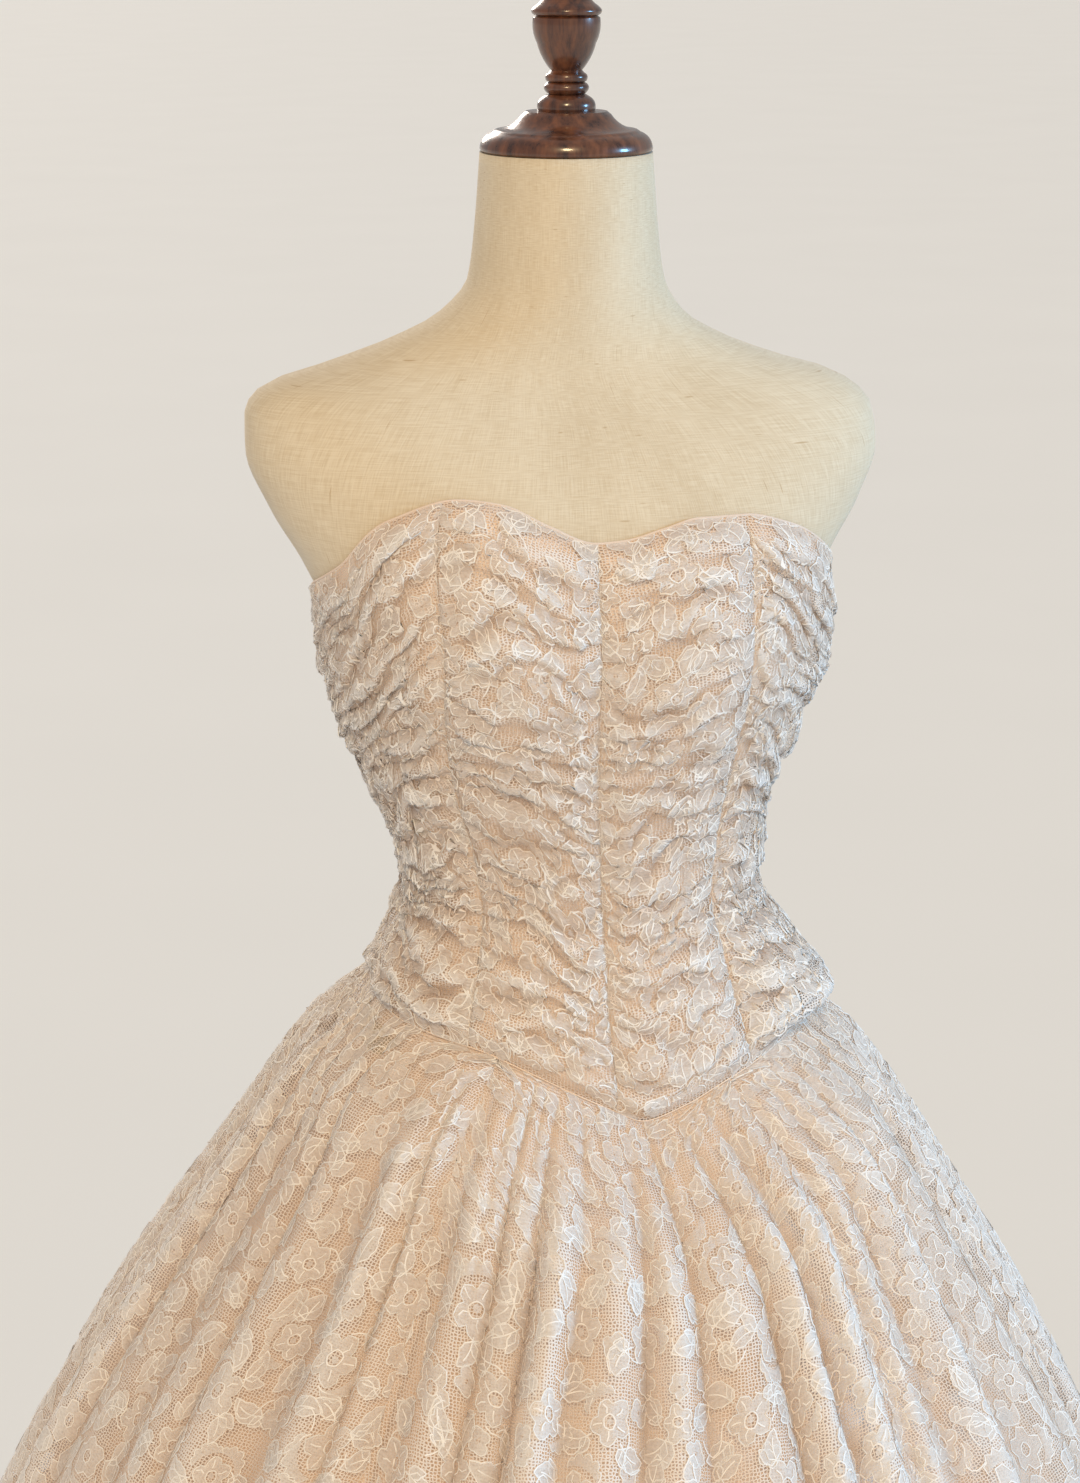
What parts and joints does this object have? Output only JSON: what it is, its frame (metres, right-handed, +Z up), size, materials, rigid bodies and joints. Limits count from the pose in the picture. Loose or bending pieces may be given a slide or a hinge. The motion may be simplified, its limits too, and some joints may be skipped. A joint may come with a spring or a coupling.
{
  "type": "ball gown on a dress form",
  "caption": "Strapless ball gown of ruched floral lace over peach satin, pointed basque and full floor-length gathered skirt, standing on a limbless linen dress form.",
  "frame": {"origin": "middle of the underside of the dress form's base, on the floor", "axes": "+Z up along the pole to the finial; the gown's front faces -Y; +X is the wearer's left"},
  "size_m": [1.1734, 1.1462, 1.6546],
  "materials": {
    "blush_lace": "soft matt corded lace",
    "peach_satin": "satin sheen",
    "form_linen": "plain matt linen",
    "turned_walnut": "varnished, glossy",
    "stand_steel": "black, semi-matt",
    "zip_nickel": "polished nickel"
  },
  "bodies": {
    "gown_on_form": {"form_torso": "form_linen", "form_neck_cap": "turned_walnut", "form_finial": "turned_walnut", "form_socket": "stand_steel", "form_pole": "stand_steel", "form_base": "stand_steel", "bodice_satin_front_left": "peach_satin", "bodice_satin_side_front_left": "peach_satin", "bodice_satin_side_back_left": "peach_satin", "bodice_satin_back_left": "peach_satin", "bodice_satin_front_right": "peach_satin", "bodice_satin_side_front_right": "peach_satin", "bodice_satin_side_back_right": "peach_satin", "bodice_satin_back_right": "peach_satin", "bodice_lace_front_left": "blush_lace", "bodice_lace_side_front_left": "blush_lace", "bodice_lace_side_back_left": "blush_lace", "bodice_lace_back_left": "blush_lace", "bodice_lace_front_right": "blush_lace", "bodice_lace_side_front_right": "blush_lace", "bodice_lace_side_back_right": "blush_lace", "bodice_lace_back_right": "blush_lace", "skirt_satin_front": "peach_satin", "skirt_satin_side_left": "peach_satin", "skirt_satin_side_right": "peach_satin", "skirt_satin_back_left": "peach_satin", "skirt_satin_back_right": "peach_satin", "skirt_lace_front": "blush_lace", "skirt_lace_side_left": "blush_lace", "skirt_lace_side_right": "blush_lace", "skirt_lace_back_left": "blush_lace", "skirt_lace_back_right": "blush_lace", "zip_chain": "peach_satin", "zip_slider": "zip_nickel"},
    "zip_pull": {"zip_pull_tab": "zip_nickel"}
  },
  "joints": [
    {"name": "pull_tab_hinge", "type": "hinge", "parent": "gown_on_form", "child": "zip_pull", "pos_m": [0.001, 0.11364, 1.21834], "axis": [1, 0, 0], "range_deg": [0, 150]}
  ]
}
